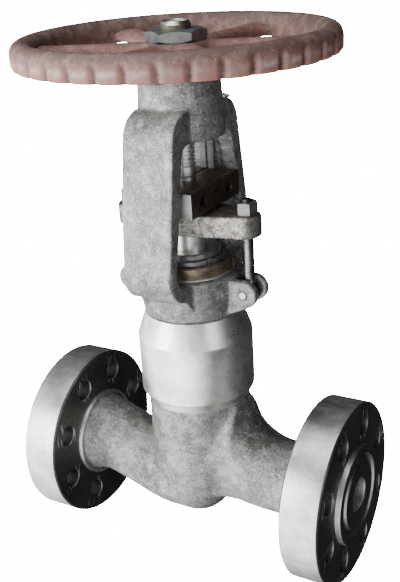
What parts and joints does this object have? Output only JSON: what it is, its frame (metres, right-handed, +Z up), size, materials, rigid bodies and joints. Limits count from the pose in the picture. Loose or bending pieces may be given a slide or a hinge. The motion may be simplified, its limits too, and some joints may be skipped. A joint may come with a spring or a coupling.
{
  "type": "globe valve",
  "caption": "Flanged pressure seal globe valve with an outside screw and yoke: a handwheel turns the yoke nut and lifts the stem and disc off the seat.",
  "frame": {"origin": "centre of the inlet flange's bolting face", "axes": "+X along the flow to the outlet flange, +Z up along the stem"},
  "size_m": [0.5842, 0.496, 0.9017],
  "materials": {
    "cast_steel": "sand-cast, matt grey",
    "machined_steel": "machined, scratched",
    "oiled_steel": "brown, oiled",
    "dark_steel": "blackened",
    "scaled_steel": "forged, scaled, rust specks",
    "nut_steel": "grey-blue, worn",
    "bronze": "machined bronze, dulled",
    "primed_iron": "dusty red-brown primer, chipped",
    "graphite": "braided graphite"
  },
  "bodies": {
    "body_and_yoke": {"body_under_seat": "cast_steel", "body_chamber": "cast_steel", "body_neck": "cast_steel", "body_spigot": "cast_steel", "body_inlet": "cast_steel", "body_outlet": "cast_steel", "inlet_flange": "cast_steel", "outlet_flange": "cast_steel", "seat_ring": "machined_steel", "bonnet": "machined_steel", "backseat_bushing": "machined_steel", "pressure_seal_gasket": "machined_steel", "gasket_spacer_ring": "machined_steel", "segmental_thrust_ring": "machined_steel", "bonnet_retainer_plate": "oiled_steel", "bonnet_take_up_nut": "dark_steel", "packing_washer": "machined_steel", "packing_rings": "graphite", "eye_bolt_inlet": "dark_steel", "eye_bolt_outlet": "dark_steel", "clevis_pin_inlet": "dark_steel", "clevis_pin_outlet": "dark_steel", "yoke": "cast_steel", "grease_nipple": "machined_steel", "lower_thrust_bearing": "machined_steel", "upper_thrust_bearing": "machined_steel", "bearing_retainer_ring": "machined_steel"},
    "handwheel": {"handwheel": "primed_iron", "yoke_nut": "bronze", "handwheel_key": "dark_steel", "handwheel_nut": "nut_steel"},
    "stem": {"stem": "machined_steel", "stem_clamp_outlet_half": "dark_steel", "stem_clamp_inlet_half": "dark_steel", "stem_clamp_screws": "dark_steel"},
    "disc": {"disc": "machined_steel", "disc_nut": "machined_steel"},
    "gland": {"gland_flange": "scaled_steel", "gland_follower": "machined_steel"},
    "gland_nut_inlet": {"gland_nut_inlet": "nut_steel"},
    "gland_nut_outlet": {"gland_nut_outlet": "nut_steel"}
  },
  "joints": [
    {"name": "handwheel_turn", "type": "hinge", "parent": "body_and_yoke", "child": "handwheel", "pos_m": [0.28257, 0, 0.7], "axis": [0, 0, 1], "range_deg": [0, 2340]},
    {"name": "stem_lift", "type": "slide", "parent": "body_and_yoke", "child": "stem", "axis": [0, 0, 1], "range_m": [0, 0.039]},
    {"name": "disc_swivel", "type": "hinge", "parent": "stem", "child": "disc", "pos_m": [0.28257, 0, 0.05], "axis": [0, 0, 1], "continuous": true},
    {"name": "gland_take_up", "type": "slide", "parent": "body_and_yoke", "child": "gland", "axis": [0, 0, -1], "range_m": [0, 0.006], "deforming": ["packing_rings"]},
    {"name": "gland_nut_outlet_turn", "type": "hinge", "parent": "gland", "child": "gland_nut_outlet", "pos_m": [0.38857, 0, 0.471], "axis": [0, 0, -1], "range_deg": [0, 851]},
    {"name": "gland_nut_inlet_turn", "type": "hinge", "parent": "gland", "child": "gland_nut_inlet", "pos_m": [0.17657, 0, 0.471], "axis": [0, 0, -1], "range_deg": [0, 851]}
  ],
  "couplings": [
    {"joint": "stem_lift", "follows": "handwheel_turn", "m_per_rad": 0.00095492},
    {"joint": "gland_nut_outlet_turn", "follows": "gland_take_up", "rad_per_m": 2473.7},
    {"joint": "gland_nut_inlet_turn", "follows": "gland_take_up", "rad_per_m": 2473.7}
  ]
}
